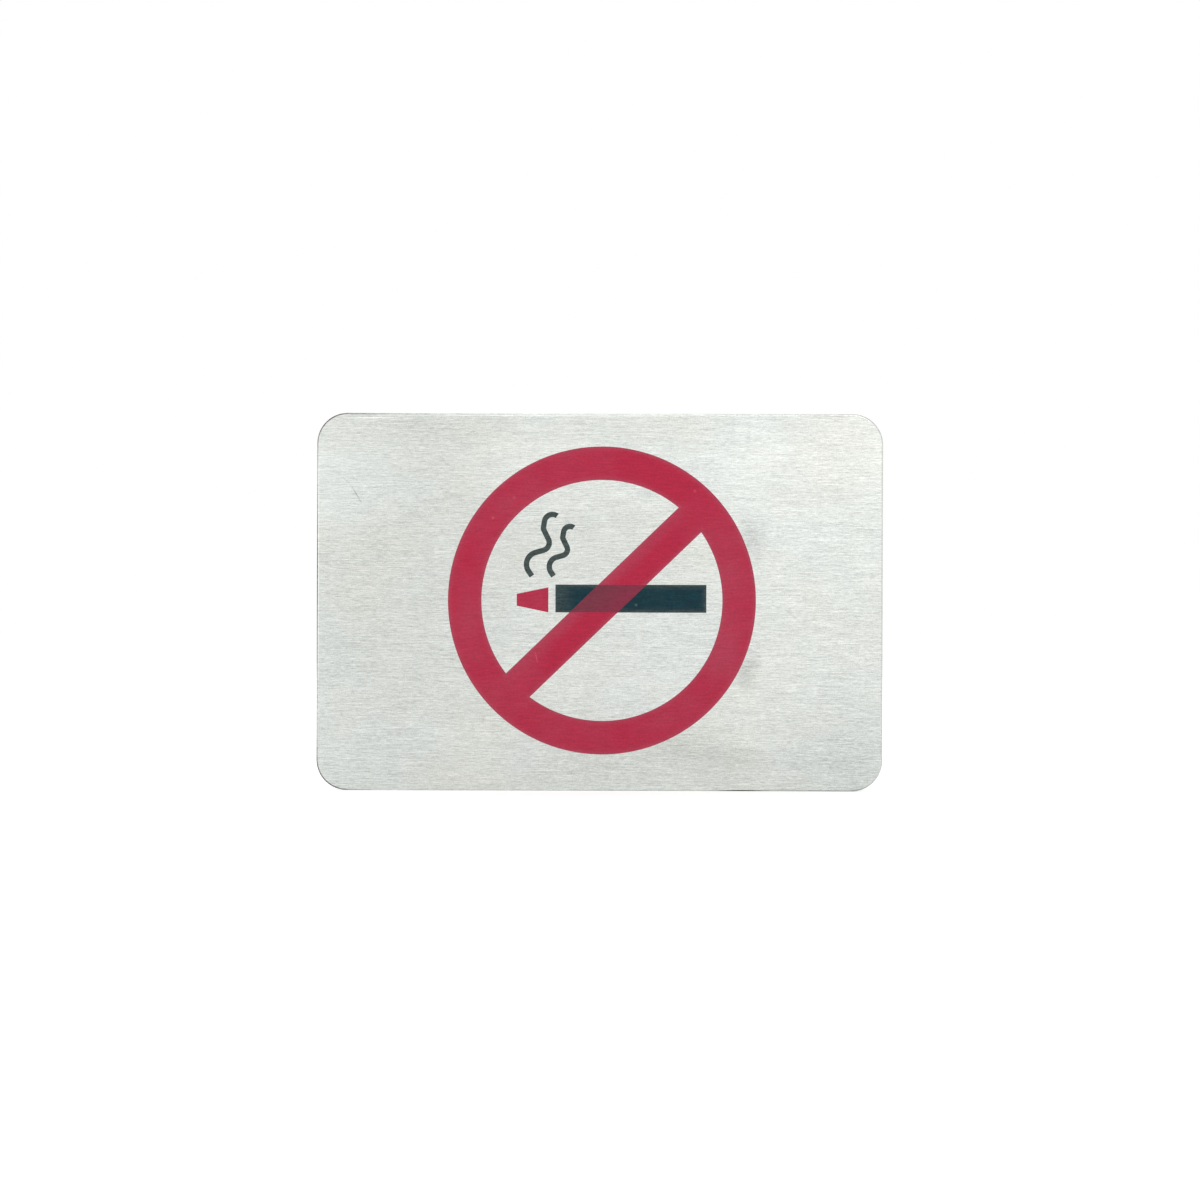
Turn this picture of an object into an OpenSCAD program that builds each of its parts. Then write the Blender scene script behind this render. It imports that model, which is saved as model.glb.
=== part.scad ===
// No smoking sign: a thin brushed stainless steel plate with round corners, screen printed with a
// prohibition ring over a cigarette, and held to the wall by strips of double-sided foam tape.
// Sizes are in millimetres. The finished sign stands upright: x runs to the right, z runs up, and
// the front looks towards -y. The wall is the plane y = 0, and the origin is the sign's centre on it.

/* [Plate] */
// Width of the steel plate
plate_w = 120; // [90:1:240]
// Height of the steel plate
plate_h = 80; // [66.7:0.1:160]
// Thickness of the sheet
plate_t = 1; // [0.8:0.1:3]
// Radius of the plate's corners, seen from the front
corner_r = 6.5; // [2:0.1:20]
// Rounding that the blanking tool leaves round the front edge
edge_roll = 0.4; // [0.1:0.05:0.5]
// Bevel that deburring leaves round the back edge
back_bevel = 0.1; // [0.05:0.05:0.2]

/* [Prohibition ring] */
// Outside diameter of the red ring. The cigarette and its smoke follow the room inside it.
ring_d = 65.3; // [50:0.1:78]
// Width of the ring's band
ring_band = 7.1; // [3:0.1:9]
// Width of the slash across the ring
slash_w = 7.1; // [3:0.1:9]
// Angle of the slash above the horizontal, rising to the right
slash_angle = 44; // [30:1:60]
// How far the slash's centre line passes below and to the right of the ring's centre
slash_shift = 0.6; // [0:0.1:2]
// How far the print sits to the right of the plate's centre
print_right = 0.45; // [-2:0.05:2]
// How far the print sits above the plate's centre
print_up = 0.35; // [-0.5:0.05:0.5]

/* [Cigarette] */
// Height of the black body
body_h = 5.9; // [3:0.1:9]
// Gap between the body's right end and the inside of the ring, along the ring's diameter
body_end_gap = 3.4; // [1:0.1:8]
// How far the body's centre line lies above the ring's centre
body_up = 0.4; // [-2:0.05:2]
// Length of the red ember
ember_l = 6.7; // [3:0.1:10]
// Height of the ember where it faces the body
ember_root_h = 5.3; // [3:0.1:9]
// Height of the ember at its tip
ember_tip_h = 2.5; // [1:0.1:5]
// Gap between the ember and the body
ember_gap = 1.5; // [0.5:0.1:3]
// Gap between the ember's tip and the inside of the ring, along the ring's diameter
ember_end_gap = 7.5; // [1:0.1:10]
// How far the ember's centre line lies above the ring's centre
ember_up = 0.1; // [-2:0.05:2]

/* [Smoke] */
// Width of the smoke's stroke
stroke_w = 1.15; // [0.5:0.05:1.5]
// Gap between the cigarette body's top line and the middle of a curl's foot
smoke_gap = 1.8; // [1:0.1:4]
// How far the tall curl's foot stands to the right of the ember's tip
foot_from_tip = 3.2; // [0:0.1:6]
// Spacing of the two curls, foot to foot
curl_pitch = 4.6; // [4:0.1:6]
// Size of the short curl's centre line beside the tall curl's
short_share = 0.8; // [0.6:0.05:1]
// Direction in which a curl leaves its foot, from the horizontal
foot_angle = 125; // [100:1:140]
// Straight run at the foot
foot_l = 1.2; // [0.5:0.1:3]
// Radius of the bowl above the foot
bowl_r = 2.6; // [1.5:0.1:4]
// Turn of the bowl
bowl_turn = 109; // [60:1:140]
// Straight run from the bowl to the bend
drift_l = 1.8; // [0.5:0.1:4]
// Radius of the bend that turns the curl upwards again
bend_r = 1.65; // [1.2:0.05:4]
// Turn of the bend
bend_turn = 100; // [60:1:140]
// Straight run from the bend to the kink
lean_l = 2.3; // [0.5:0.1:4]
// Radius left on the inside of the kink
kink_in_r = 0.1; // [0.05:0.05:0.5]
// Turn of the kink
kink_turn = 35; // [10:1:60]
// Straight run from the kink to the hook
rise_l = 1.4; // [0.5:0.1:4]
// Radius of the hook at the top
hook_r = 1.7; // [1.2:0.1:4]
// Turn of the hook
hook_turn = 117; // [60:1:140]

/* [Ink] */
// Thickness of one coat of ink
ink_t = 0.03; // [0.02:0.002:0.06]
// How far the red coat stays raised past the edge of the black coat that it crosses
ink_lap = 0.15; // [0.05:0.05:0.4]

/* [Foam tape] */
// Width of a strip of tape
tape_w = 12; // [6:1:14]
// Thickness of the tape
tape_t = 1; // [0.5:0.1:2]
// Gap between the ends of a strip and the plate's sides
tape_side_gap = 10; // [7:1:25]
// Gap between an outer strip and the plate's top or bottom edge
tape_edge_gap = 8; // [7:1:10]

/* [Hidden] */
$fn = 180;

steel_colour = "#dbded9";
red_ink_colour = "#b2374c";
black_ink_colour = "#2b3d43";
tape_colour = "#f1f0ec";

// Straight part of the plate's outline, between the corner arcs
flat_w = plate_w - 2 * corner_r;
flat_h = plate_h - 2 * corner_r;

// Height of the plate's printed face above the wall
face_up = tape_t + plate_t;

ring_r = ring_d / 2;
ring_in_r = ring_r - ring_band;
// The slash runs on under the ring's band as far as the middle of it
slash_reach = ring_r - ring_band / 2;

// The cigarette and its smoke are drawn for a ring of this inner radius, and then sized to fit
drawn_in_r = 25.55;
art_scale = ring_in_r / drawn_in_r;

// As drawn, the cigarette fills the ring's inner diameter, less the gaps at its two ends
ember_tip_x = -drawn_in_r + ember_end_gap;
ember_root_x = ember_tip_x + ember_l;
body_left = ember_root_x + ember_gap;
body_right = drawn_in_r - body_end_gap;
body_l = body_right - body_left;
body_x = (body_left + body_right) / 2;

// The curls stand on one line above the cigarette
tall_foot_x = ember_tip_x + foot_from_tip;
short_foot_x = tall_foot_x + curl_pitch;
foot_y = body_up + body_h / 2 + smoke_gap;
kink_r = stroke_w / 2 + kink_in_r;
// Turn between two stations along a bend of the smoke
station_turn = 5;

tape_l = plate_w - 2 * tape_side_gap;
tape_up = plate_h / 2 - tape_edge_gap - tape_w / 2;

// The sign is drawn lying on its back, with its artwork in the xy plane, and then stood up
module stand_up() {
    rotate([90, 0, 0])
        children();
}

// Places artwork on the plate's face, measured from the ring's centre
module on_face() {
    stand_up()
        translate([print_right, print_up, face_up])
            children();
}

// Section through the plate's rim, from where a corner arc has its centre out to the edge.
// Its base is the back of the sheet.
module rim_section() {
    difference() {
        polygon([
            [0, 0],
            [corner_r - back_bevel, 0],
            [corner_r, back_bevel],
            [corner_r, plate_t],
            [0, plate_t]
        ]);
        translate([corner_r - edge_roll, plate_t - edge_roll])
            difference() {
                square(edge_roll);
                circle(edge_roll);
            }
    }
}

// A straight stretch of the rim, whose edge looks towards +x
module rim_straight(distance, length) {
    translate([distance, length / 2, 0])
        rotate([90, 0, 0])
            linear_extrude(length)
                rim_section();
}

module sign_plate() {
    color(steel_colour)
        stand_up()
            translate([0, 0, tape_t]) {
                translate([-flat_w / 2, -flat_h / 2, 0])
                    cube([flat_w, flat_h, plate_t]);
                for (half_turn = [0, 180])
                    rotate([0, 0, half_turn]) {
                        rim_straight(flat_w / 2, flat_h);
                        rotate([0, 0, 90])
                            rim_straight(flat_h / 2, flat_w);
                        translate([flat_w / 2, flat_h / 2, 0])
                            rotate_extrude(angle = 90)
                                rim_section();
                        translate([-flat_w / 2, flat_h / 2, 0])
                            rotate([0, 0, 90])
                                rotate_extrude(angle = 90)
                                    rim_section();
                    }
            }
}

module ring_outline() {
    difference() {
        circle(ring_r);
        circle(ring_in_r);
    }
    intersection() {
        circle(slash_reach);
        rotate(slash_angle)
            translate([0, -slash_shift])
                square([2 * ring_r, slash_w], center = true);
    }
}

// The cigarette's body, with its edges moved out by grow
module body_outline(grow = 0) {
    translate([art_scale * body_x, art_scale * body_up])
        square([art_scale * body_l + 2 * grow, art_scale * body_h + 2 * grow], center = true);
}

module cigarette_body() {
    color(black_ink_colour)
        on_face()
            linear_extrude(ink_t)
                body_outline();
}

// The red coat is printed last. It steps up over the black body and comes down again beyond it.
module prohibition_ring() {
    color(red_ink_colour)
        on_face()
            difference() {
                union() {
                    linear_extrude(ink_t)
                        ring_outline();
                    linear_extrude(2 * ink_t)
                        intersection() {
                            ring_outline();
                            body_outline(ink_lap);
                        }
                }
                linear_extrude(ink_t)
                    body_outline();
            }
}

module ember() {
    color(red_ink_colour)
        on_face()
            linear_extrude(ink_t)
                scale(art_scale)
                    polygon([
                        [ember_tip_x, ember_up - ember_tip_h / 2],
                        [ember_root_x, ember_up - ember_root_h / 2],
                        [ember_root_x, ember_up + ember_root_h / 2],
                        [ember_tip_x, ember_up + ember_tip_h / 2]
                    ]);
}

// A curl's centre line is a chain of runs. A straight run is [length, 0], and a bend is
// [radius, turn], where a positive turn goes to the left.
function curl_runs(share) = [
    [foot_l * share, 0],
    [bowl_r * share, -bowl_turn],
    [drift_l * share, 0],
    [bend_r * share, bend_turn],
    [lean_l * share, 0],
    [kink_r, -kink_turn],
    [rise_l * share, 0],
    [hook_r * share, -hook_turn]
];

// A station is a place on the centre line, [x, y, heading]. This one lies a given part of the way
// along a run.
function station_on(run, from, part) =
    let (
        size = run[0],
        turn = run[1],
        heading = from[2],
        new_heading = heading + turn * part,
        to_centre = sign(turn) * size
    )
    turn == 0
        ? [from[0] + size * part * cos(heading), from[1] + size * part * sin(heading), heading]
        : [
            from[0] + to_centre * (sin(new_heading) - sin(heading)),
            from[1] - to_centre * (cos(new_heading) - cos(heading)),
            new_heading
        ];

// The stations of all runs from the given one on, beginning with the station where it starts
function stations_from(runs, index, from) =
    index == len(runs)
        ? [from]
        : let (
            run = runs[index],
            steps = max(1, ceil(abs(run[1]) / station_turn))
        )
        concat(
            [for (step = [0:steps - 1]) station_on(run, from, step / steps)],
            stations_from(runs, index + 1, station_on(run, from, 1))
        );

// The point that lies off to the left of a station
function beside(station, off) = [
    station[0] - off * sin(station[2]),
    station[1] + off * cos(station[2])
];

// A stroke of smoke with square-cut ends, from its foot at the given x
module curl(foot_x, share) {
    stations = stations_from(curl_runs(share), 0, [foot_x, foot_y, foot_angle]);
    count = len(stations);
    right_side = [for (i = [0:count - 1]) beside(stations[i], -stroke_w / 2)];
    left_side = [for (i = [count - 1:-1:0]) beside(stations[i], stroke_w / 2)];
    color(black_ink_colour)
        on_face()
            linear_extrude(ink_t)
                scale(art_scale)
                    polygon(concat(right_side, left_side));
}

module smoke_curl_tall() {
    curl(tall_foot_x, 1);
}

module smoke_curl_short() {
    curl(short_foot_x, short_share);
}

// A strip of foam tape between the wall and the plate, at a height above the sign's centre
module tape(up) {
    color(tape_colour)
        stand_up()
            translate([-tape_l / 2, up - tape_w / 2, 0])
                cube([tape_l, tape_w, tape_t]);
}

module tape_upper() {
    tape(tape_up);
}

module tape_middle() {
    tape(0);
}

module tape_lower() {
    tape(-tape_up);
}

sign_plate();
cigarette_body();
smoke_curl_tall();
smoke_curl_short();
prohibition_ring();
ember();
tape_upper();
tape_middle();
tape_lower();
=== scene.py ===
import math

import bmesh
import bpy
from bpy.props import FloatProperty, FloatVectorProperty, IntProperty, PointerProperty
from mathutils import Matrix, Vector, noise


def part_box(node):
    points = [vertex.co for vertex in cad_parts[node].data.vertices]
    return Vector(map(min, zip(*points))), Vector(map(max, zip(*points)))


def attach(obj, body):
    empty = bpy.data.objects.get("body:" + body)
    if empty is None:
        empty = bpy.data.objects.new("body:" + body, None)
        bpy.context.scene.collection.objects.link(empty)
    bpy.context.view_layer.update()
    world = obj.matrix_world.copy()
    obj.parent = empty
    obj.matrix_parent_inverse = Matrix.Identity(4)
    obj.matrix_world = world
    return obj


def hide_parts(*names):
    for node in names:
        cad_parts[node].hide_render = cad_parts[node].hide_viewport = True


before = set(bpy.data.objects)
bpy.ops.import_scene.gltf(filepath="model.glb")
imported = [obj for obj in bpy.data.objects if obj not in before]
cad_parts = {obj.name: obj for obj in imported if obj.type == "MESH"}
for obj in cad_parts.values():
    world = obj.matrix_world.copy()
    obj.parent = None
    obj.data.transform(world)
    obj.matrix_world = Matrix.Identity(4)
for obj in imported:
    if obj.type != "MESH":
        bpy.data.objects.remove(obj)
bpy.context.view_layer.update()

bl_info = {
    "name": "No smoking sign",
    "version": (1, 0, 0),
    "blender": (4, 5, 0),
    "location": "3D View > Sidebar > Sign",
    "description": "Brushed steel sign with a screen printed pictogram and foam tape on its back",
    "category": "Object",
}

MM = 0.001
X_AXIS = Vector((1, 0, 0))
Y_AXIS = Vector((0, 1, 0))
Z_AXIS = Vector((0, 0, 1))
# The sign looks towards -Y and the wall is at y = 0
PLATE_LOW, PLATE_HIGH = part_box("sign_plate")
RING_LOW, RING_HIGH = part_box("prohibition_ring")
BODY_LOW, BODY_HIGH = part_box("cigarette_body")
BODY_MIDDLE = (BODY_LOW + BODY_HIGH) / 2
BODY_HALF = (BODY_HIGH - BODY_LOW) / 2
# Nearer than this, two places count as the same
SAME = 0.001 * MM
# Points nearer than this are merged
MERGED = 0.0001 * MM


def linear(hex_colour):
    """An sRGB hex colour such as #d8dad6 as linear red, green and blue."""
    values = [int(hex_colour[i:i + 2], 16) / 255 for i in (1, 3, 5)]
    return tuple(v / 12.92 if v <= 0.04045 else ((v + 0.055) / 1.055) ** 2.4 for v in values)


def length(name, millimetres, description):
    return FloatProperty(
        name=name, description=description, default=millimetres * MM, min=0.0, precision=5,
        subtype="DISTANCE", unit="LENGTH",
    )


def colour(name, hex_colour, description):
    return FloatVectorProperty(
        name=name, description=description, default=linear(hex_colour), size=3,
        min=0.0, max=1.0, subtype="COLOR",
    )


class PlateSettings(bpy.types.PropertyGroup):
    corner_radius: length("Corner radius", 6.5, "Radius of the corners, seen from the front")
    edge_roll: length("Edge roll", 0.4, "Rounding that blanking leaves round the front edge")
    back_bevel: length("Back bevel", 0.1, "Bevel that deburring leaves round the back edge")
    burnish: length("Burnished band", 0.2, "Bright band of the cut edge, behind the edge roll")
    corner_segments: IntProperty(
        name="Corner segments", description="Faces round each corner", default=28, min=4,
    )
    roll_segments: IntProperty(
        name="Roll segments", description="Faces across the rounded front edge", default=8, min=2,
    )
    line_height: length("Line height", 0.22, "Height of the brushing lines")
    short_line: length("Short lines", 1.1, "Length of the shortest brushing lines")
    middle_line: length("Middle lines", 2.6, "Length of the middling brushing lines")
    long_line: length("Long lines", 9.0, "Length of the longest brushing lines")
    steel: colour("Steel", "#d1d3cd", "Brushed face")
    steel_cool: colour("Cool cast", "#d0d4d1", "Greenish cloudy cast on the brushed face")
    mill: colour("Mill finish", "#b9bbba", "Rolled back of the sheet")


class PrintSettings(bpy.types.PropertyGroup):
    ring_band: length("Ring band", 7.1, "Width of the ring's band")
    slash_width: length("Slash width", 7.1, "Width of the slash across the ring")
    slash_shift: length("Slash shift", 0.6, "How far the slash passes below the ring's centre")
    slash_angle: FloatProperty(
        name="Slash angle", description="Angle of the slash above the horizontal",
        default=math.radians(44), subtype="ANGLE", unit="ROTATION",
    )
    ink: length("Ink coat", 0.03, "Thickness of one coat of ink")
    ink_lap: length("Ink lap", 0.15, "Ramp on which the red climbs over the black that it crosses")
    ring_segments: IntProperty(
        name="Ring segments", description="Faces round the ring", default=288, min=32,
    )
    thin_edge: length("Thin edge", 1.4, "How far in from the ring's outline the red coat is thinner")
    black_edge: length("Black edge", 2.8, "How far in from the cigarette's outline the black is thinner")
    thin_end: length("Thin end", 4.5, "How far in from the cigarette's left end the black is thinner")
    red: colour("Red", "#b12643", "Full coat of red ink")
    red_thin: colour("Thin red", "#b03b52", "Red ink where the coat is thinner")
    red_edge: colour("Red edge", "#ab4759", "Red ink along its outline")
    red_over_black: colour("Red over black", "#842f44", "Full coat of red ink over the black")
    red_over_black_thin: colour("Thin red over black", "#783343", "Thinner red ink over the black")
    black: colour("Black", "#08303a", "Full coat of black ink")
    black_thin: colour("Thin black", "#434e4c", "Black ink where the coat is thinner")


class TapeSettings(bpy.types.PropertyGroup):
    film: length("Adhesive film", 0.08, "Thickness of the adhesive on each side of the foam")
    waist: length("Waist", 0.12, "How far the slit foam draws in between its two films")
    ragged: length("Ragged ends", 0.2, "How far the snipped ends wander")
    dimple: length("Dimples", 0.06, "Depth of the shallow dimples in the adhesive face")
    step: length("Step", 1.0, "Spacing of the mesh along and across a strip")
    layers: IntProperty(name="Layers", description="Mesh layers through the foam", default=6, min=2)
    cell: length("Foam cell", 0.25, "Size of the foam's cells")
    foam: colour("Foam", "#efeee9", "Closed-cell foam")
    adhesive: colour("Adhesive", "#e6e2d2", "Adhesive film over the foam")


class StageSettings(bpy.types.PropertyGroup):
    lens: FloatProperty(name="Lens", description="Focal length in mm", default=100.0, min=20.0)
    picture_width: length("Picture width", 254.4, "Width of the view at the sign's face")
    aim_x: length("Aim across", 0.05, "How far right of the sign's centre the camera aims")
    aim_z: length("Aim up", 0.45, "How far above the sign's centre the camera aims")
    roll: FloatProperty(
        name="Roll", description="Turn of the camera about its line of sight",
        default=math.radians(-0.17), subtype="ANGLE", unit="ROTATION",
    )
    floor_size: length("Floor size", 6000.0, "Side of the square floor")
    floor: colour("Floor", "#f2f2f2", "Pale floor")
    floor_lift: FloatProperty(
        name="Floor lift", description="Light added where the floor is seen, so that it reads white",
        default=0.30, min=0.0,
    )
    sky: FloatProperty(
        name="Sky light", description="Strength of the even light all round", default=0.80, min=0.0,
    )


def add_node(tree, kind, inputs=(), output=0, **settings):
    """Adds a node with its settings and gives the named or numbered output. The inputs, in order or
    by name, are values to set or outputs to link. A MapRange has its value first, then the two ends
    of the range that it reads and the two ends of the range that it gives."""
    new = tree.nodes.new("ShaderNode" + kind)
    for setting, value in settings.items():
        setattr(new, setting, value)
    if isinstance(inputs, dict):
        pairs = [(new.inputs[name], value) for name, value in inputs.items()]
    else:
        pairs = zip([socket for socket in new.inputs if socket.enabled], inputs)
    for socket, value in pairs:
        if isinstance(value, bpy.types.NodeSocket):
            tree.links.new(value, socket)
        else:
            socket.default_value = value
    return new.outputs[output] if new.outputs else None


def start_material(name):
    material = bpy.data.materials.new(name)
    material.use_nodes = True
    material.node_tree.nodes.clear()
    return material, material.node_tree


# How long the faint waves in the brushing lines are, and how high, in heights of a line
WAVE_LENGTH = 14 * MM
WAVE_HEIGHT = 1.6


def streaks(tree, height, along, seed):
    """Faintly wavy brushing lines along X, from 0 to 1 and about 0.5 on average."""
    place = add_node(tree, "TexCoord", output="Object")
    slow = add_node(tree, "TexNoise", {"Vector": place, "Scale": 1 / WAVE_LENGTH, "Detail": 1.0}, "Fac")
    wave = add_node(tree, "Math", (slow, WAVE_HEIGHT * height), operation="MULTIPLY")
    lift = add_node(tree, "CombineXYZ", {"Z": wave})
    waved = add_node(tree, "VectorMath", (place, lift), operation="ADD")
    stretched = add_node(
        tree, "Mapping",
        {"Vector": waved, "Location": (seed, seed, seed), "Scale": (1 / along, 1 / height, 1 / height)},
    )
    return add_node(
        tree, "TexNoise", {"Vector": stretched, "Scale": 1.0, "Detail": 2.0, "Roughness": 0.6}, "Fac",
    )


def patches(tree, size, seed, detail=2.0):
    """Soft patches of about the given size, from 0 to 1 and about 0.5 on average."""
    place = add_node(tree, "TexCoord", output="Object")
    moved = add_node(tree, "Mapping", {"Vector": place, "Location": (seed, seed, seed)})
    return add_node(tree, "TexNoise", {"Vector": moved, "Scale": 1 / size, "Detail": detail}, "Fac")


def marks(tree, rows):
    """The sum of soft oval marks on the face. Each row gives a mark's place right and up, half its
    length and half its width in millimetres, its angle in degrees and its strength."""
    place = add_node(tree, "TexCoord", output="Object")
    total = None
    for right, up, half_length, half_width, angle, strength in rows:
        local = add_node(
            tree, "Mapping",
            {
                "Vector": place,
                "Location": (right * MM, PLATE_LOW.y, up * MM),
                "Rotation": (0.0, -math.radians(angle), 0.0),
                "Scale": (half_length * MM, 1.0, half_width * MM),
            },
            vector_type="TEXTURE",
        )
        spot = add_node(tree, "TexGradient", {"Vector": local}, "Fac", gradient_type="SPHERICAL")
        if total is None:
            total = add_node(tree, "Math", (spot, strength), operation="MULTIPLY")
        else:
            total = add_node(tree, "Math", (spot, strength, total), operation="MULTIPLY_ADD")
    return total


def shade(tree, base, *swings):
    """A base colour made lighter and darker by pairs of a pattern about 0.5 and its full swing."""
    gain = 1.0
    for pattern, swing in swings:
        centred = add_node(tree, "Math", (pattern, 0.5), operation="SUBTRACT")
        gain = add_node(tree, "Math", (centred, swing, gain), operation="MULTIPLY_ADD")
    return add_node(
        tree, "VectorMath", {"Vector": base, "Scale": gain}, "Vector", operation="SCALE",
    )


# What is left of each metal's reflection just before grazing. The torn edge shades itself there.
STEEL_GRAZING = (0.8, 0.8, 0.8, 1.0)
EDGE_GRAZING = (0.35, 0.35, 0.35, 1.0)
# How deep the change from the burnished to the torn band of the cut edge is
TEAR_START = 0.08 * MM

# Marks and painted light on the brushed face, with a plus where it is brighter
FACE_MARKS_AND_PAINTED_LIGHT = (
    # A scratch and its echo, a small pit and a nick
    (-51.6, 22.6, 2.6, 0.20, -59, -0.45),
    (-53.6, 25.4, 2.0, 0.16, -42, -0.20),
    (-41.4, 8.1, 0.40, 0.40, 0, -0.14),
    (33.4, 19.8, 0.9, 0.16, -12, -0.22),
    # Bright and dull lines of the brushing
    (-32.5, -16.6, 1.6, 0.20, 2, 0.14),
    (48.5, 13.4, 13.0, 0.16, 0.4, 0.16),
    (52.0, -18.0, 8.0, 0.14, 0.3, -0.08),
    # Painted highlights and painted shade: bright and dull lines beside the top and left edges, and dull
    # lines at the upper right corner that dim its reflection
    (-16.0, 39.5, 42.0, 0.25, 0, 0.32),
    (-48.4, 39.02, 7.0, 0.22, 0, 0.42),
    (-49.2, 39.23, 6.0, 0.16, 0, -0.25),
    (-59.68, 6.0, 0.17, 32.0, 0, 0.45),
    (48.5, 39.66, 11.0, 0.24, 0, -0.24),
    (55.6, 39.2, 3.5, 0.35, -20, -0.24),
    # Painted shade that touches the ring on its right and below it
    (32.1, 13.8, 4.8, 3.5, 113, -0.20),
    (31.2, -14.6, 5.5, 3.2, 64, -0.22),
    (23.0, -31.8, 15.0, 3.8, -8, -0.11),
    (16.3, -30.8, 8.0, 3.5, 27, -0.05),
    # Broad painted light, brighter near the top and duller towards the bottom, as the light falls on the
    # face
    (53.6, -35.5, 20.5, 60.0, 0, -0.09),
    (41.0, -34.3, 80.0, 8.8, 0, -0.09),
    (-74.0, 28.3, 36.5, 23.0, 0, 0.23),
    (-7.6, 31.0, 34.5, 15.0, 0, 0.11),
    (33.8, 30.4, 21.0, 13.0, 0, 0.11),
    (-40.6, -15.0, 20.5, 34.5, 0, -0.04),
)

# Painted shade on the rolled edge: the two left corners, the left side twice, the left of the top edge,
# two stretches of the bottom edge and the upper right corner. The last row is a painted highlight that
# makes the top edge brighter.
RIM_PAINTED_SHADE_AND_HIGHLIGHT = (
    (-60.0, 40.0, 12.0, 12.0, 0, -0.9),
    (-60.0, -40.0, 12.0, 12.0, 0, -0.9),
    (-60.0, 2.0, 8.0, 60.0, 0, -0.45),
    (-60.0, 10.0, 0.35, 30.0, 0, -0.6),
    (-48.0, 40.0, 14.0, 4.0, 0, -0.34),
    (30.3, -40.0, 6.5, 0.3, 0, -2.0),
    (48.0, -40.0, 14.0, 4.0, 0, -0.35),
    (54.0, 40.0, 8.0, 2.5, 0, -0.2),
    (10.0, 40.1, 90.0, 0.7, 0, 0.25),
)
# How far behind the face the painted shade and highlight on the rolled edge start, and how far they are
# in full
RIM_START = 0.005 * MM
RIM_FULL = 0.035 * MM

# Pinholes in the red coat and a scratch on the slash
RED_MARKS = (
    (-22.7, 17.8, 0.42, 0.42, 0, 1.2),
    (-18.2, 22.1, 0.50, 0.50, 0, 0.8),
    (20.1, 23.6, 0.45, 0.45, 0, 0.8),
    (-13.4, -11.7, 1.6, 0.22, -78, 1.0),
)

# Places where the red coat is thinner, or with a minus fuller
RED_THIN_PLACES = (
    (26.5, 6.8, 5.0, 6.0, 0, 0.5),
    (26.0, -9.1, 5.0, 9.0, 0, 1.1),
    (15.0, -24.5, 5.0, 4.0, 0, 0.35),
    (-15.0, -15.4, 6.0, 5.0, 44, 0.5),
    (-20.0, 20.5, 5.0, 4.0, 0, 0.4),
    (-28.0, -3.0, 4.0, 8.0, 0, 0.3),
    (-27.7, 8.5, 4.0, 5.0, 0, -0.4),
    (11.4, 27.3, 15.0, 6.0, -22, -0.8),
    (1.5, -0.9, 34.0, 5.0, 44, -0.9),
    (-1.15, 2.0, 34.0, 3.0, 44, 0.9),
)

# The right side of the slash, where a fuller red coat covers the black
RED_FULL_OVER_BLACK = ((5.8, 0.75, 14.0, 4.5, 44, 1.15),)

# A pale speck on the cigarette's body
BLACK_MARKS = ((7.7, -0.6, 0.42, 0.42, 0, 0.9),)

# How much the thickness of each coat wanders
RED_UNEVEN = 1.2
BLACK_UNEVEN = 0.2
# The powers by which the thin edge of each coat gives way to the full coat
RED_EDGE_POWER = 2.5
BLACK_EDGE_POWER = 4.5
# The share of the cigarette's half size at which red over black starts to turn to plain red
OVERLAP_START = 0.97
# How thin the black is at the cigarette's left end, and beyond that end's length
THIN_AT_END = 0.7
THIN_BEYOND = 0.03


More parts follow.
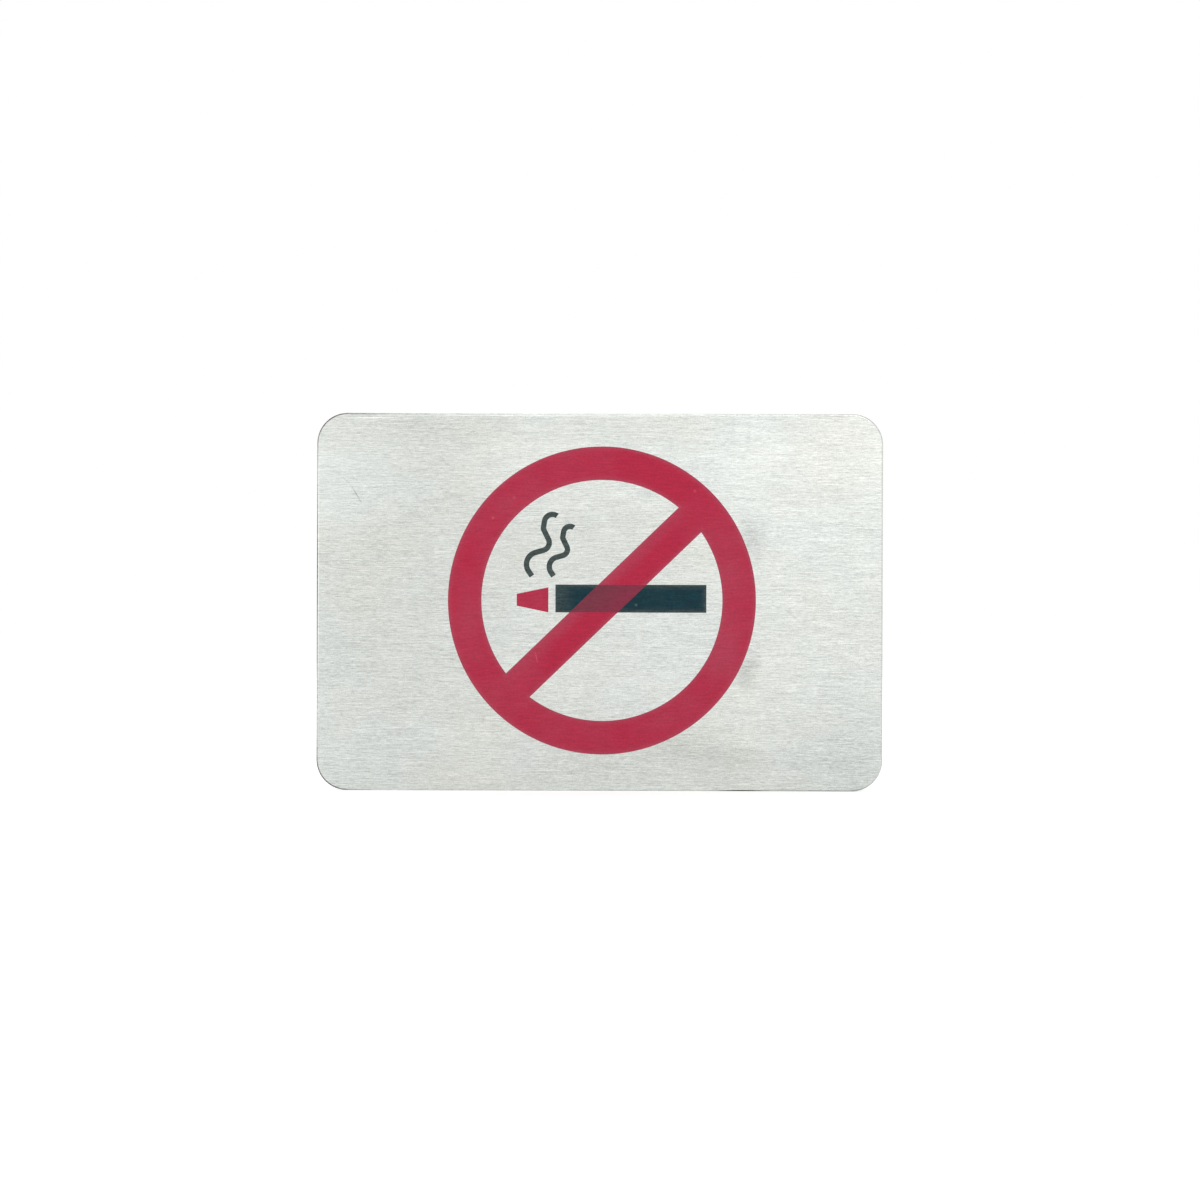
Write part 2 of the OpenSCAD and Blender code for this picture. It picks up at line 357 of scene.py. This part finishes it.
def brushed_stainless_steel(settings):
    """Stainless sheet, brushed along its width with a fine belt. The belt leaves short, faintly wavy
    lines that catch the light, a cloudy cast where it pressed harder, and a stretched highlight.
    The lines are drawn coarser than real ones, so that they show. The face also has painted highlights
    and painted shade along its edges and beside the ring, and broad painted light, brighter near the top
    and duller near the bottom."""
    material, tree = start_material("brushed_stainless_steel")
    short_lines = streaks(tree, settings.line_height, settings.short_line, seed=0.0)
    middle_lines = streaks(tree, settings.line_height, settings.middle_line, seed=7.7)
    long_lines = streaks(tree, settings.line_height, settings.long_line, seed=3.1)
    place = add_node(tree, "TexCoord", output="Object")
    depth = add_node(tree, "SeparateXYZ", (place,), "Y")
    rolled = add_node(
        tree, "MapRange", (depth, PLATE_LOW.y + RIM_START, PLATE_LOW.y + RIM_FULL, 0.0, 1.0),
    )
    # Painted shade on the rolled edge, and a painted highlight along the top edge
    rim_painted_shade = add_node(tree, "Math", (rolled, marks(tree, RIM_PAINTED_SHADE_AND_HIGHLIGHT)), operation="MULTIPLY")
    passes = streaks(tree, 4 * MM, 40 * MM, seed=6.2)
    pressure = patches(tree, 16 * MM, seed=2.2)
    grains = patches(tree, 0.25 * MM, seed=1.3, detail=0.0)
    cast = add_node(tree, "MapRange", (patches(tree, 20 * MM, seed=5.0), 0.35, 0.65, 0.0, 1.0))
    cloudy = add_node(
        tree, "Mix", (cast, (*settings.steel, 1.0), (*settings.steel_cool, 1.0)), data_type="RGBA",
        output="Result",
    )
    # Scratches, pits and brushing lines, with painted highlights and painted shade at the edges and
    # beside the ring, and broad painted light
    marks_and_painted_light = add_node(tree, "Math", (marks(tree, FACE_MARKS_AND_PAINTED_LIGHT), 0.5), operation="ADD")
    with_rim_painted_shade = add_node(tree, "Math", (marks_and_painted_light, rim_painted_shade), operation="ADD")
    brushed = shade(
        tree, cloudy, (short_lines, 0.68), (middle_lines, 0.52), (long_lines, 0.5), (grains, 0.32),
        (passes, 0.12), (pressure, 0.08), (with_rim_painted_shade, 1.0),
    )
    relief = add_node(tree, "Math", (long_lines, 0.7, short_lines), operation="MULTIPLY_ADD")
    shader = add_node(
        tree, "BsdfPrincipled",
        {
            "Base Color": brushed,
            "Metallic": 1.0,
            "Specular Tint": STEEL_GRAZING,
            "Roughness": add_node(tree, "MapRange", (long_lines, 0.2, 0.8, 0.30, 0.42)),
            "Anisotropic": 0.7,
            "Anisotropic Rotation": 0.25,
            "Tangent": add_node(tree, "Tangent", direction_type="UV_MAP", uv_map="brushing"),
            "Normal": add_node(
                tree, "Bump", {"Strength": 0.25, "Distance": 0.01 * MM, "Height": relief},
            ),
        },
    )
    add_node(tree, "OutputMaterial", {"Surface": shader})
    return material


def rolled_stainless_steel(settings):
    """The back of the sheet keeps the mill's cold rolled finish: greyer and duller than the front,
    almost even, with faint rolling lines and smears from handling."""
    material, tree = start_material("rolled_stainless_steel")
    lines = streaks(tree, 0.5 * MM, 30 * MM, seed=4.4)
    smears = patches(tree, 12 * MM, seed=6.5, detail=3.0)
    shader = add_node(
        tree, "BsdfPrincipled",
        {
            "Base Color": shade(tree, settings.mill, (lines, 0.16), (smears, 0.14)),
            "Metallic": 1.0,
            "Specular Tint": STEEL_GRAZING,
            "Roughness": add_node(tree, "MapRange", (smears, 0.3, 0.7, 0.32, 0.46)),
            "Normal": add_node(
                tree, "Bump", {"Strength": 0.2, "Distance": 0.01 * MM, "Height": lines},
            ),
        },
    )
    add_node(tree, "OutputMaterial", {"Surface": shader})
    return material


def sheared_steel_edge(settings):
    """The cut edge of the sheet: a bright band that the punch burnished, next to the rolled front,
    then a rougher and darker band where the metal tore."""
    material, tree = start_material("sheared_steel_edge")
    place = add_node(tree, "TexCoord", output="Object")
    depth = add_node(tree, "SeparateXYZ", (place,), "Y")
    burnish_end = PLATE_LOW.y + settings.edge_roll + settings.burnish
    torn = add_node(
        tree, "MapRange", (depth, burnish_end, burnish_end + TEAR_START, 0.0, 1.0),
    )
    tears = patches(tree, 0.18 * MM, seed=1.7)
    darker = add_node(tree, "MapRange", (torn, 0.0, 1.0, 0.5, 0.1))
    shader = add_node(
        tree, "BsdfPrincipled",
        {
            "Base Color": shade(tree, settings.mill, (darker, 0.6), (tears, 0.35)),
            "Metallic": 1.0,
            "Specular Tint": EDGE_GRAZING,
            "Roughness": add_node(tree, "MapRange", (torn, 0.0, 1.0, 0.25, 0.55)),
            "Normal": add_node(
                tree, "Bump", {"Strength": 0.5, "Distance": 0.02 * MM, "Height": tears},
            ),
        },
    )
    add_node(tree, "OutputMaterial", {"Surface": shader})
    return material


def red_screen_ink(settings):
    """Red enamel ink, screen printed and baked: a thin satin coat that is a little uneven, follows
    the brushing under it, and lets the black show through where it crosses the cigarette."""
    material, tree = start_material("red_screen_ink")
    thin = add_node(
        tree, "Math", (patches(tree, 7 * MM, seed=3.3), RED_UNEVEN, marks(tree, RED_THIN_PLACES)),
        operation="MULTIPLY_ADD",
    )
    thinness = add_node(tree, "MapRange", (thin, 0.2, 1.2, 0.0, 1.0))
    inner_coat = add_node(
        tree, "Mix", (thinness, (*settings.red, 1.0), (*settings.red_thin, 1.0)), data_type="RGBA",
        output="Result",
    )
    # The ring's mesh says where its edge is. The ember's doesn't, and reads as 0.
    edge = add_node(tree, "Attribute", output="Fac", attribute_name="thin_edge")
    edge_coat = add_node(tree, "Math", (edge, RED_EDGE_POWER), operation="POWER")
    bare_marks = marks(tree, RED_MARKS)
    bareness = add_node(tree, "Math", (edge_coat, bare_marks), operation="ADD")
    coat = add_node(
        tree, "Mix", (bareness, inner_coat, (*settings.red_edge, 1.0)), data_type="RGBA",
        output="Result",
    )
    over_black = add_node(
        tree, "Mix",
        (
            marks(tree, RED_FULL_OVER_BLACK),
            (*settings.red_over_black_thin, 1.0), (*settings.red_over_black, 1.0),
        ),
        data_type="RGBA", output="Result",
    )
    # The cigarette's own outline, as a box that reaches 1 at its edges
    inside = add_node(
        tree, "Mapping",
        {
            "Vector": add_node(tree, "TexCoord", output="Object"),
            "Location": (BODY_MIDDLE.x, 0.0, BODY_MIDDLE.z),
            "Scale": (BODY_HALF.x, 1.0, BODY_HALF.z),
        },
        vector_type="TEXTURE",
    )
    reach = add_node(tree, "VectorMath", (inside,), operation="ABSOLUTE")
    furthest = add_node(
        tree, "Math",
        (add_node(tree, "SeparateXYZ", (reach,), "X"), add_node(tree, "SeparateXYZ", (reach,), "Z")),
        operation="MAXIMUM",
    )
    crossing = add_node(tree, "MapRange", (furthest, OVERLAP_START, 1.0, 1.0, 0.0))
    painted = add_node(
        tree, "Mix", (crossing, coat, over_black), data_type="RGBA", output="Result",
    )
    brushing = streaks(tree, 0.3 * MM, 3 * MM, seed=2.0)
    speckle = patches(tree, 0.35 * MM, seed=4.0, detail=1.0)
    bare_pattern = add_node(tree, "Math", (bare_marks, 0.5), operation="ADD")
    satin_enamel(
        tree, shade(tree, painted, (brushing, 0.45), (speckle, 0.40), (bare_pattern, 0.3)), brushing,
    )
    return material


def black_screen_ink(settings):
    """Black enamel ink, screen printed: a satin blue-black coat, fullest in the cigarette's body,
    thinner at its outline and its left end, and thinnest and greyest in the smoke, where the
    brushing shows most."""
    material, tree = start_material("black_screen_ink")
    place = add_node(tree, "TexCoord", output="Object")
    from_middle = add_node(tree, "VectorMath", (place, BODY_MIDDLE), operation="SUBTRACT")
    apart = add_node(tree, "VectorMath", (from_middle,), operation="ABSOLUTE")
    room = add_node(tree, "VectorMath", (BODY_HALF, apart), operation="SUBTRACT")
    to_edge = add_node(
        tree, "Math",
        (add_node(tree, "SeparateXYZ", (room,), "X"), add_node(tree, "SeparateXYZ", (room,), "Z")),
        operation="MINIMUM",
    )
    edge = add_node(tree, "MapRange", (to_edge, 0.0, settings.black_edge, 1.0, 0.0))
    thin_edge = add_node(tree, "Math", (edge, BLACK_EDGE_POWER), operation="POWER")
    along = add_node(tree, "SeparateXYZ", (place,), "X")
    thin_end = add_node(
        tree, "MapRange",
        (along, BODY_LOW.x, BODY_LOW.x + settings.thin_end, THIN_AT_END, THIN_BEYOND),
    )
    thinner = add_node(tree, "Math", (thin_edge, thin_end), operation="MAXIMUM")
    bare_marks = marks(tree, BLACK_MARKS)
    thin = add_node(tree, "Math", (thinner, bare_marks), operation="ADD")
    uneven = add_node(
        tree, "Math", (patches(tree, 2 * MM, seed=2.0), BLACK_UNEVEN, thin),
        operation="MULTIPLY_ADD",
    )
    thinness = add_node(tree, "MapRange", (uneven, 0.1, 1.1, 0.0, 1.0))
    coat = add_node(
        tree, "Mix", (thinness, (*settings.black, 1.0), (*settings.black_thin, 1.0)),
        data_type="RGBA", output="Result",
    )
    brushing = streaks(tree, 0.3 * MM, 3 * MM, seed=8.0)
    speckle = patches(tree, 0.5 * MM, seed=9.0, detail=1.0)
    bare_pattern = add_node(tree, "Math", (bare_marks, 0.5), operation="ADD")
    satin_enamel(
        tree, shade(tree, coat, (brushing, 1.4), (speckle, 0.9), (bare_pattern, 1.0)), brushing,
    )
    return material


def satin_enamel(tree, base, brushing):
    """The satin surface of both inks, with the brushed steel under them felt through it."""
    shader = add_node(
        tree, "BsdfPrincipled",
        {
            "Base Color": base,
            "Roughness": add_node(tree, "MapRange", (brushing, 0.2, 0.8, 0.42, 0.55)),
            "IOR": 1.5,
            "Specular IOR Level": 0.15,
            "Normal": add_node(
                tree, "Bump", {"Strength": 0.15, "Distance": 0.01 * MM, "Height": brushing},
            ),
        },
    )
    add_node(tree, "OutputMaterial", {"Surface": shader})


def closed_cell_foam(settings):
    """White polyethylene foam, slit from a roll: a matt cut face that is pitted with fine cells."""
    material, tree = start_material("closed_cell_foam")
    place = add_node(tree, "TexCoord", output="Object")
    cells = add_node(tree, "TexVoronoi", {"Vector": place, "Scale": 1 / settings.cell}, "Distance")
    clouds = patches(tree, 5 * MM, seed=1.0)
    shader = add_node(
        tree, "BsdfPrincipled",
        {
            "Base Color": shade(tree, settings.foam, (cells, 0.25), (clouds, 0.08)),
            "Roughness": add_node(tree, "MapRange", (cells, 0.0, 1.0, 0.95, 0.8)),
            "IOR": 1.5,
            "Specular IOR Level": 0.2,
            "Normal": add_node(
                tree, "Bump", {"Strength": 0.6, "Distance": 0.06 * MM, "Height": cells},
            ),
        },
    )
    add_node(tree, "OutputMaterial", {"Surface": shader})
    return material


def acrylic_adhesive_film(settings):
    """Clear acrylic adhesive over the foam: a smooth, slightly yellow skin with a wet shine, which
    keeps the fine crepe of the liner that was peeled off it."""
    material, tree = start_material("acrylic_adhesive_film")
    crepe = patches(tree, 0.9 * MM, seed=0.0, detail=3.0)
    haze = patches(tree, 7 * MM, seed=3.0)
    shader = add_node(
        tree, "BsdfPrincipled",
        {
            "Base Color": shade(tree, settings.adhesive, (haze, 0.08), (crepe, 0.16)),
            "Roughness": add_node(tree, "MapRange", (haze, 0.3, 0.7, 0.22, 0.38)),
            "IOR": 1.47,
            "Normal": add_node(
                tree, "Bump", {"Strength": 0.35, "Distance": 0.05 * MM, "Height": crepe},
            ),
        },
    )
    add_node(tree, "OutputMaterial", {"Surface": shader})
    return material


def pale_board(settings):
    """Matt pale board. Where it is seen directly or in a reflection, enough light is added for it to
    reach white, less its shadow."""
    material, tree = start_material("pale_board")
    board = add_node(tree, "BsdfDiffuse", {"Color": (*settings.floor, 1.0)})
    lift = add_node(tree, "Math", (seen_rays(tree), settings.floor_lift), operation="MULTIPLY")
    glow = add_node(tree, "Emission", {"Strength": lift})
    shader = add_node(tree, "AddShader", (board, glow))
    add_node(tree, "OutputMaterial", {"Surface": shader})
    return material


def seen_rays(tree):
    """1 for a ray from the camera or a reflection or through glass, and 0 for a ray that lights."""
    seen = add_node(tree, "LightPath", output="Is Camera Ray")
    for kind in ("Is Glossy Ray", "Is Transmission Ray"):
        other = add_node(tree, "LightPath", output=kind)
        seen = add_node(tree, "Math", (seen, other), operation="MAXIMUM")
    return seen


def mesh_object(name, bm, materials):
    """Makes a finished object at the origin from a bmesh, with its faces pointing outwards."""
    bmesh.ops.remove_doubles(bm, verts=bm.verts[:], dist=MERGED)
    bmesh.ops.recalc_face_normals(bm, faces=bm.faces[:])
    mesh = bpy.data.meshes.new(name)
    bm.to_mesh(mesh)
    bm.free()
    for material in materials:
        mesh.materials.append(material)
    made = bpy.data.objects.new(name, mesh)
    bpy.context.scene.collection.objects.link(made)
    return made


def box_mesh(low, high):
    bm = bmesh.new()
    bmesh.ops.create_cube(bm, size=1.0)
    bmesh.ops.scale(bm, vec=high - low, verts=bm.verts[:])
    bmesh.ops.translate(bm, vec=(low + high) / 2, verts=bm.verts[:])
    return bm


def cut(bm, place, normal):
    """Adds edges where a plane crosses the mesh."""
    bmesh.ops.bisect_plane(
        bm, geom=bm.verts[:] + bm.edges[:] + bm.faces[:], plane_co=place, plane_no=normal,
    )


class SIGN_OT_steel_plate(bpy.types.Operator):
    """Builds the steel plate with round corners, a rolled front edge and a deburred back edge"""

    bl_idname = "sign.steel_plate"
    bl_label = "Steel plate"

    def execute(self, context):
        settings = context.scene.sign_plate
        bm = box_mesh(PLATE_LOW, PLATE_HIGH)
        corners = [e for e in bm.edges if abs(e.verts[0].co.y - e.verts[1].co.y) > SAME]
        bmesh.ops.bevel(
            bm, geom=corners, offset=settings.corner_radius, segments=settings.corner_segments,
            affect="EDGES", profile=0.5, material=-1,
        )
        bmesh.ops.bevel(
            bm, geom=self.outline(bm, PLATE_LOW.y), offset=settings.edge_roll,
            segments=settings.roll_segments, affect="EDGES", profile=0.5, material=-1,
        )
        bmesh.ops.bevel(
            bm, geom=self.outline(bm, PLATE_HIGH.y), offset=settings.back_bevel,
            segments=1, affect="EDGES", profile=0.5, material=-1,
        )
        self.finish_faces(bm)
        plate = mesh_object("steel_plate", bm, [
            brushed_stainless_steel(settings),
            rolled_stainless_steel(settings),
            sheared_steel_edge(settings),
        ])
        plate.data.set_sharp_from_angle(angle=math.radians(30))
        weighted = plate.modifiers.new("flat_faces", "WEIGHTED_NORMAL")
        weighted.keep_sharp = True
        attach(plate, "root")
        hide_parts("sign_plate")
        return {"FINISHED"}

    @staticmethod
    def outline(bm, y):
        """The edges that lie in the plane of the front or the back."""
        return [e for e in bm.edges if all(abs(v.co.y - y) < SAME for v in e.verts)]

    @staticmethod
    def finish_faces(bm):
        """Gives each face its finish, and a map whose first direction runs along the brushing. Some
        of the depth is added to both directions, so that the map isn't folded on the cut edge."""
        bm.normal_update()
        brushing = bm.loops.layers.uv.new("brushing")
        for face in bm.faces:
            face.smooth = True
            on_back = face.normal.y > 0.5
            on_cut_edge = abs(face.normal.y) < 0.01
            face.material_index = 1 if on_back else 2 if on_cut_edge else 0
            for loop in face.loops:
                place = loop.vert.co
                loop[brushing].uv = (
                    0.5 + (place.x + place.y / 2) / (2 * PLATE_HIGH.x),
                    0.5 + (place.z + place.y) / (2 * PLATE_HIGH.x),
                )


class SIGN_OT_black_print(bpy.types.Operator):
    """Finishes the cigarette's body and its smoke in black ink"""

    bl_idname = "sign.black_print"
    bl_label = "Black print"

    def execute(self, context):
        ink = black_screen_ink(context.scene.sign_print)
        for name in ("cigarette_body", "smoke_curl_tall", "smoke_curl_short"):
            for material_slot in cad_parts[name].material_slots:
                material_slot.material = ink
        return {"FINISHED"}


class SIGN_OT_red_print(bpy.types.Operator):
    """Builds the red ring with its slash, and finishes the cigarette's ember in the same ink"""

    bl_idname = "sign.red_print"
    bl_label = "Red print"

    def execute(self, context):
        settings = context.scene.sign_print
        ink = red_screen_ink(settings)
        for material_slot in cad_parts["ember"].material_slots:
            material_slot.material = ink
        ring = mesh_object("red_ring_with_slash", self.ring_mesh(settings), [ink])
        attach(ring, "root")
        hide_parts("prohibition_ring")
        return {"FINISHED"}

    @staticmethod
    def ring_mesh(settings):
        """The ring is drawn flat round the origin, given its thickness, and stood up on the plate."""
        centre = (RING_LOW + RING_HIGH) / 2
        radius = (RING_HIGH.x - RING_LOW.x) / 2
        window_radius = radius - settings.ring_band
        across = Vector((-math.sin(settings.slash_angle), math.cos(settings.slash_angle), 0.0))
        bm = bmesh.new()
        bmesh.ops.create_circle(bm, segments=settings.ring_segments, radius=radius)
        # The two windows are what the slash leaves of the disc inside the ring
        for side in (1, -1):
            window = bmesh.ops.create_circle(
                bm, segments=settings.ring_segments, radius=window_radius, cap_ends=True,
            )["verts"]
            # A dictionary's keys keep their order, as a set's don't, so every run makes the same mesh
            around = dict.fromkeys(part for v in window for part in (v, *v.link_edges, *v.link_faces))
            bmesh.ops.bisect_plane(
                bm, geom=list(around), clear_inner=True, plane_no=across * side,
                plane_co=across * (side * settings.slash_width / 2 - settings.slash_shift),
            )
            bmesh.ops.delete(bm, geom=bm.faces[:], context="FACES_ONLY")
        bmesh.ops.triangle_fill(bm, edges=bm.edges[:], use_beauty=True, normal=Z_AXIS)
        bmesh.ops.inset_region(
            bm, faces=bm.faces[:], thickness=settings.thin_edge, use_boundary=True, use_even_offset=True,
        )
        thin_edge = bm.verts.layers.float.new("thin_edge")
        for v in bm.verts:
            v[thin_edge] = 1.0 if v.is_boundary else 0.0
        body_up = BODY_MIDDLE.z - centre.z
        for reach in (BODY_HALF.z, BODY_HALF.z + settings.ink_lap):
            cut(bm, Vector((0, body_up + reach, 0)), Y_AXIS)
            cut(bm, Vector((0, body_up - reach, 0)), Y_AXIS)
        front = bmesh.ops.extrude_face_region(bm, geom=bm.faces[:])["geom"]
        bmesh.ops.translate(
            bm, vec=Z_AXIS * settings.ink, verts=[v for v in front if isinstance(v, bmesh.types.BMVert)],
        )
        # Where the slash crosses the cigarette, the red lies on the black instead of the steel
        raised = [
            v for v in bm.verts
            if abs(v.co.y - body_up) < BODY_HALF.z + SAME and abs(v.co.x) < window_radius
        ]
        bmesh.ops.translate(bm, vec=Z_AXIS * settings.ink, verts=raised)
        bmesh.ops.rotate(bm, matrix=Matrix.Rotation(math.radians(90), 3, "X"), verts=bm.verts[:])
        bmesh.ops.translate(bm, vec=(centre.x, PLATE_LOW.y, centre.z), verts=bm.verts[:])
        return bm


class SIGN_OT_foam_tape(bpy.types.Operator):
    """Builds the three strips of double-sided foam tape on the back"""

    bl_idname = "sign.foam_tape"
    bl_label = "Foam tape"

    # Size of the uneven places along the cut sides, and of the dimples in the adhesive
    uneven_size = 3 * MM
    dimple_size = 6 * MM
    # The least share of the waist that is drawn in
    least_waist = 0.6
    # How far in from a strip's outline the dimples reach their full depth
    dimple_margin = 3 * MM

    def execute(self, context):
        settings = context.scene.sign_tape
        materials = [closed_cell_foam(settings), acrylic_adhesive_film(settings)]
        for name in ("tape_upper", "tape_middle", "tape_lower"):
            low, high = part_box(name)
            strip = mesh_object("foam_" + name, self.strip_mesh(settings, low, high), materials)
            strip.data.set_sharp_from_angle(angle=math.radians(40))
            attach(strip, "root")
            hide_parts(name)
        return {"FINISHED"}

    def strip_mesh(self, settings, low, high):
        """A strip with an adhesive film on each side, a drawn-in waist and snipped ends."""
        bm = box_mesh(low, high)
        for axis, index in ((X_AXIS, 0), (Z_AXIS, 2)):
            steps = round((high[index] - low[index]) / settings.step)
            for i in range(1, steps):
                cut(bm, axis * (low[index] + (high[index] - low[index]) * i / steps), axis)
        foam_low = low.y + settings.film
        foam_high = high.y - settings.film
        for i in range(settings.layers + 1):
            cut(bm, Y_AXIS * (foam_low + (foam_high - foam_low) * i / settings.layers), Y_AXIS)
        bm.normal_update()
        for face in bm.faces:
            middle = face.calc_center_median()
            on_film = not foam_low < middle.y < foam_high
            face.material_index = 1 if on_film else 0
            face.smooth = True
        for v in bm.verts:
            self.settle(v, settings, low, high)
        return bm

    def settle(self, v, settings, low, high):
        """Draws one point of a strip in from the exact box. Nothing moves outwards."""
        place = v.co.copy()
        through = (place.y - low.y) / (high.y - low.y)
        waist = settings.waist * (1 - (2 * through - 1) ** 2)
        for index in (0, 2):
            unevenness = 0.5 + 0.5 * noise.noise(place / self.uneven_size)
            inwards = waist * (self.least_waist + (1 - self.least_waist) * unevenness)
            if index == 0:
                inwards += settings.ragged * unevenness
            if place[index] < low[index] + SAME:
                v.co[index] += inwards
            elif place[index] > high[index] - SAME:
                v.co[index] -= inwards
        if place.y > high.y - SAME:
            room = min(place.x - low.x, high.x - place.x, place.z - low.z, high.z - place.z)
            inside = min(room / self.dimple_margin, 1.0)
            dimpled = 0.5 + 0.5 * noise.noise(place / self.dimple_size)
            v.co.y -= settings.dimple * inside * dimpled


class SIGN_OT_stage(bpy.types.Operator):
    """Sets the floor, the soft lights and the camera round the sign"""

    bl_idname = "sign.stage"
    bl_label = "Stage"

    # Each softbox: its place from the sign's centre, its size and its power
    softboxes = (
        ("key", (0.20, -0.55, 0.42), 0.20, 0.9),
        ("fill", (-0.70, -0.60, 0.15), 0.60, 0.6),
        ("back", (-0.30, 0.80, 0.70), 0.60, 2.0),
    )

    def execute(self, context):
        settings = context.scene.sign_stage
        bm = bmesh.new()
        bmesh.ops.create_grid(bm, x_segments=1, y_segments=1, size=settings.floor_size / 2)
        bmesh.ops.translate(bm, vec=(0, 0, PLATE_LOW.z), verts=bm.verts[:])
        mesh_object("floor", bm, [pale_board(settings)])
        for name, place, size, power in self.softboxes:
            lamp = bpy.data.lights.new(name, "AREA")
            lamp.size = size
            lamp.energy = power
            self.put(lamp, place)
        self.light_sky(settings)
        self.put_camera(settings)
        context.scene.view_settings.view_transform = "Standard"
        return {"FINISHED"}

    @staticmethod
    def put(lamp, place):
        """Puts a lamp in its place, facing the sign's centre."""
        made = bpy.data.objects.new(lamp.name, lamp)
        bpy.context.scene.collection.objects.link(made)
        made.location = place
        made.rotation_euler = (-made.location).to_track_quat("-Z", "Y").to_euler()

    @staticmethod
    def light_sky(settings):
        """White where it is seen or reflected, and the sky's own strength where it lights."""
        world = bpy.data.worlds.new("studio")
        bpy.context.scene.world = world
        world.use_nodes = True
        tree = world.node_tree
        tree.nodes.clear()
        strength = add_node(tree, "MapRange", (seen_rays(tree), 0.0, 1.0, settings.sky, 1.0))
        sky = add_node(tree, "Background", {"Color": (1.0, 1.0, 1.0, 1.0), "Strength": strength})
        add_node(tree, "OutputWorld", {"Surface": sky})

    @staticmethod
    def put_camera(settings):
        camera_data = bpy.data.cameras.new("camera")
        camera_data.lens = settings.lens
        camera_data.sensor_width = 36.0
        camera_data.clip_start = 0.01
        camera_data.clip_end = 20.0
        camera = bpy.data.objects.new("camera", camera_data)
        bpy.context.scene.collection.objects.link(camera)
        distance = settings.picture_width * settings.lens / camera_data.sensor_width
        camera.location = (settings.aim_x, PLATE_LOW.y - distance, settings.aim_z)
        camera.rotation_euler = (math.radians(90), settings.roll, 0.0)
        bpy.context.scene.camera = camera


class SIGN_PT_panel(bpy.types.Panel):
    """Lists the steps that build the sign, with their sizes and colours"""

    bl_idname = "SIGN_PT_panel"
    bl_label = "No smoking sign"
    bl_space_type = "VIEW_3D"
    bl_region_type = "UI"
    bl_category = "Sign"

    def draw(self, context):
        scene = context.scene
        steps = (
            (SIGN_OT_steel_plate, scene.sign_plate),
            (SIGN_OT_black_print, None),
            (SIGN_OT_red_print, scene.sign_print),
            (SIGN_OT_foam_tape, scene.sign_tape),
            (SIGN_OT_stage, scene.sign_stage),
        )
        for operator, settings in steps:
            box = self.layout.box()
            box.operator(operator.bl_idname)
            if settings is None:
                continue
            for name in settings.__annotations__:
                box.prop(settings, name)


SETTINGS = (
    ("sign_plate", PlateSettings),
    ("sign_print", PrintSettings),
    ("sign_tape", TapeSettings),
    ("sign_stage", StageSettings),
)
CLASSES = (
    PlateSettings,
    PrintSettings,
    TapeSettings,
    StageSettings,
    SIGN_OT_steel_plate,
    SIGN_OT_black_print,
    SIGN_OT_red_print,
    SIGN_OT_foam_tape,
    SIGN_OT_stage,
    SIGN_PT_panel,
)


def register():
    for cls in CLASSES:
        bpy.utils.register_class(cls)
    for name, group in SETTINGS:
        setattr(bpy.types.Scene, name, PointerProperty(type=group))


def unregister():
    for name, _ in SETTINGS:
        delattr(bpy.types.Scene, name)
    for cls in reversed(CLASSES):
        bpy.utils.unregister_class(cls)


def main():
    register()
    bpy.ops.sign.steel_plate()
    bpy.ops.sign.black_print()
    bpy.ops.sign.red_print()
    bpy.ops.sign.foam_tape()
    bpy.ops.sign.stage()


if __name__ == "__main__":
    main()
